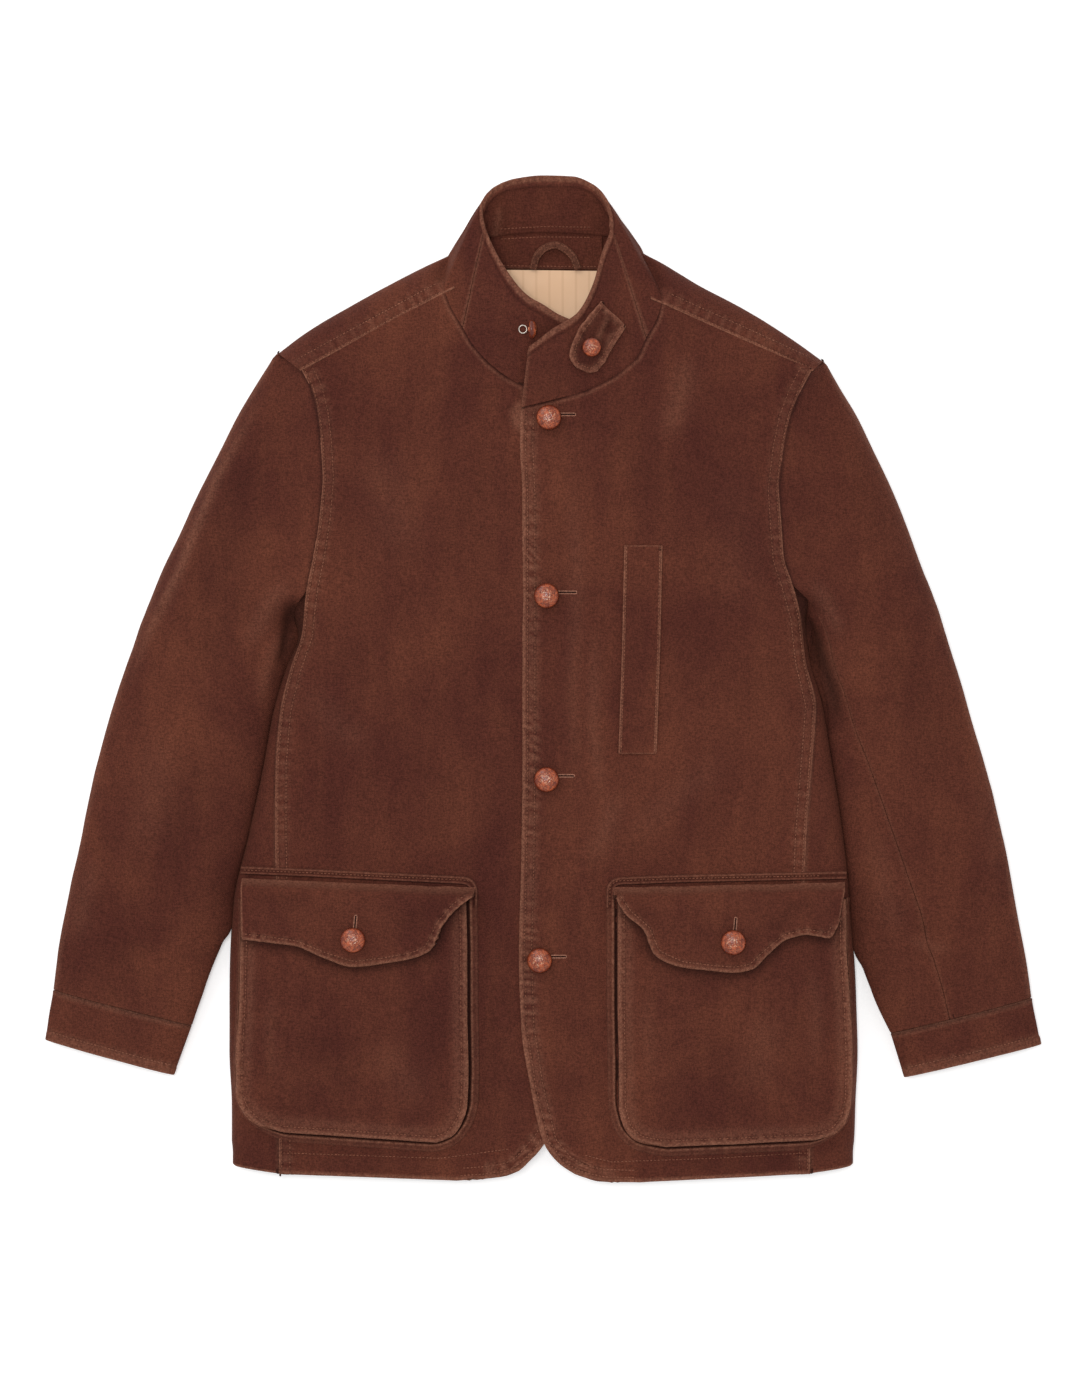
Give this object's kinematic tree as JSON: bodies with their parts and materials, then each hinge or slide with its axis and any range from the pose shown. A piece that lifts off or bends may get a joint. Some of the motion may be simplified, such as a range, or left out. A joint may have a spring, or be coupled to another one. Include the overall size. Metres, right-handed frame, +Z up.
{
  "type": "utility jacket laid flat",
  "caption": "Brown cotton utility jacket laid flat and buttoned: stand collar with tab, bellows flap pockets, chest welt and domed leather buttons.",
  "frame": {"origin": "bottom centre of the laid jacket, on the surface that it lies on", "axes": "+Z up from the surface, +Y towards the collar, +X towards the wearer's left sleeve"},
  "size_m": [0.876, 0.883, 0.0629],
  "materials": {
    "shell_cloth": "brushed cotton, worn",
    "lining_cloth": "smooth lining",
    "button_leather": "polished woven leather",
    "shank_wire": "satin"
  },
  "bodies": {
    "root": {"front_right": "shell_cloth", "front_left": "shell_cloth", "side_right": "shell_cloth", "side_left": "shell_cloth", "back": "shell_cloth", "sleeve_right_top": "shell_cloth", "sleeve_right_under": "shell_cloth", "sleeve_left_top": "shell_cloth", "sleeve_left_under": "shell_cloth", "cuff_right": "shell_cloth", "cuff_left": "shell_cloth", "collar_right": "shell_cloth", "collar_back": "shell_cloth", "collar_left": "shell_cloth", "pocket_right_face": "shell_cloth", "pocket_right_gusset": "shell_cloth", "flap_right": "shell_cloth", "pocket_left_face": "shell_cloth", "pocket_left_gusset": "shell_cloth", "flap_left": "shell_cloth", "chest_welt": "shell_cloth", "collar_tab": "shell_cloth", "neck_facing": "shell_cloth", "lining": "lining_cloth", "hanger_loop": "shell_cloth", "button_front_1": "button_leather", "button_front_2": "button_leather", "button_front_3": "button_leather", "button_front_4": "button_leather", "button_flap_right": "button_leather", "button_flap_left": "button_leather", "button_tab": "button_leather", "button_collar": "button_leather", "button_collar_shank": "shank_wire"}
  },
  "joints": []
}
